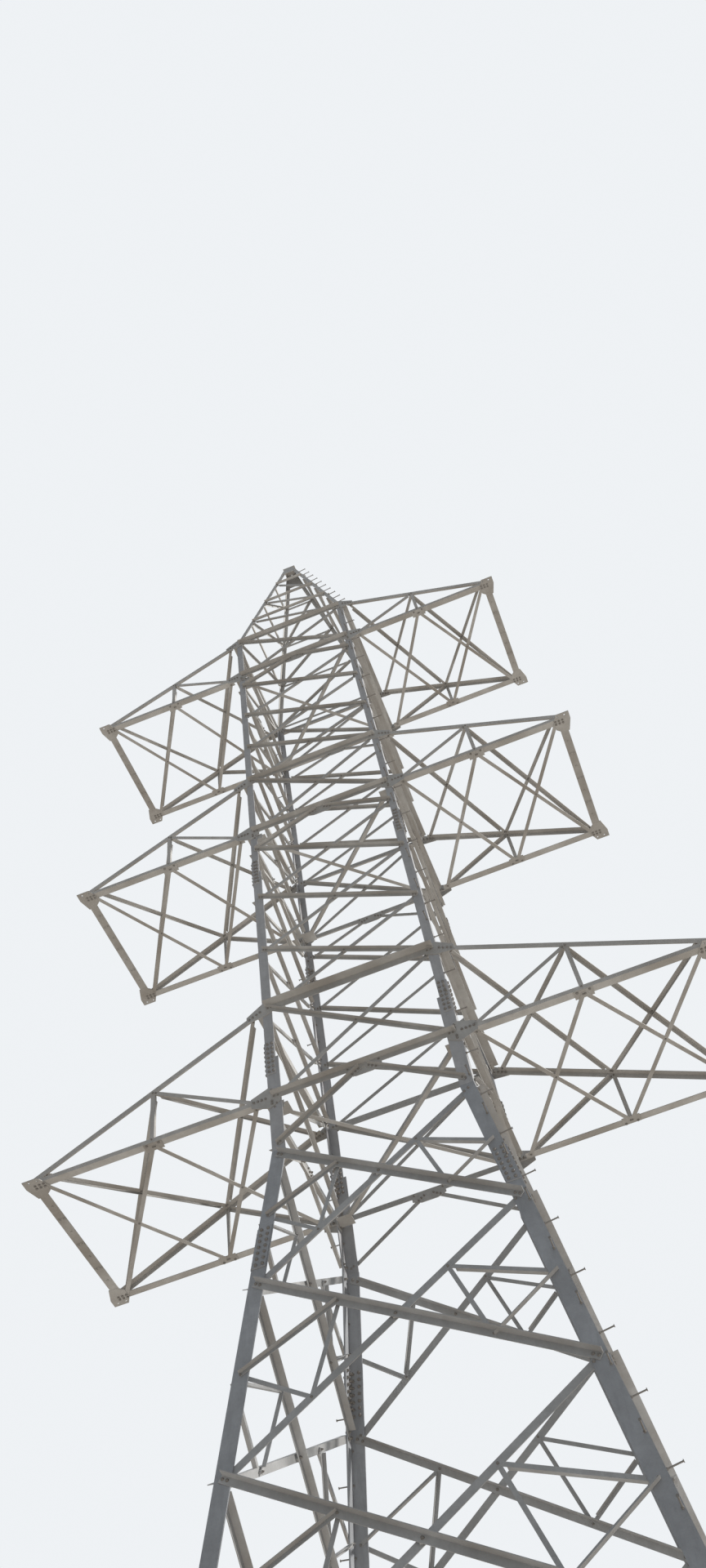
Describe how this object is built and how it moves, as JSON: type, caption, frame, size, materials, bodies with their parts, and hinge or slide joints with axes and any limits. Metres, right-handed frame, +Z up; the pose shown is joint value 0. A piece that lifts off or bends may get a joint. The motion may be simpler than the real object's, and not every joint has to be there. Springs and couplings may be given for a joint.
{
  "type": "lattice transmission pylon",
  "caption": "Four-legged bolted steel lattice pylon with three pairs of square-ended cross-arms, a flared crossed-brace base and a pointed earth wire peak.",
  "frame": {"origin": "middle of the four feet, on the ground under the base plates", "axes": "+Z up; the cross-arms reach along +X and -X; -Y is the front face, the one nearest the camera"},
  "size_m": [9.64, 7.27, 33.59],
  "materials": {
    "low_steel": "weathered hot-dip galvanizing",
    "mid_steel": "weathered hot-dip galvanizing",
    "arm_steel": "weathered hot-dip galvanizing",
    "dark_steel": "weathered hot-dip galvanizing"
  },
  "bodies": {
    "root": {"foot_front_left": "dark_steel", "foot_front_right": "dark_steel", "foot_back_right": "dark_steel", "foot_back_left": "dark_steel", "lower_leg_front_left": "low_steel", "lower_leg_front_right": "low_steel", "lower_leg_back_right": "low_steel", "lower_leg_back_left": "low_steel", "upper_leg_front_left": "mid_steel", "upper_leg_front_right": "mid_steel", "upper_leg_back_right": "mid_steel", "upper_leg_back_left": "mid_steel", "lower_bracing_front": "low_steel", "lower_bracing_right": "low_steel", "lower_bracing_back": "low_steel", "lower_bracing_left": "low_steel", "upper_bracing_front": "mid_steel", "upper_bracing_right": "mid_steel", "upper_bracing_back": "mid_steel", "upper_bracing_left": "mid_steel", "plan_bracing_lower": "mid_steel", "plan_bracing_middle": "mid_steel", "plan_bracing_upper": "mid_steel", "peak_legs": "mid_steel", "peak_bracing": "mid_steel", "lower_arm_right_sides": "arm_steel", "lower_arm_right_floor": "dark_steel", "lower_arm_right_roof": "arm_steel", "lower_arm_left_sides": "arm_steel", "lower_arm_left_floor": "dark_steel", "lower_arm_left_roof": "arm_steel", "middle_arm_right_sides": "arm_steel", "middle_arm_right_floor": "dark_steel", "middle_arm_right_roof": "arm_steel", "middle_arm_left_sides": "arm_steel", "middle_arm_left_floor": "dark_steel", "middle_arm_left_roof": "arm_steel", "upper_arm_right_sides": "arm_steel", "upper_arm_right_floor": "dark_steel", "upper_arm_right_roof": "arm_steel", "upper_arm_left_sides": "arm_steel", "upper_arm_left_floor": "dark_steel", "upper_arm_left_roof": "arm_steel"}
  },
  "joints": []
}
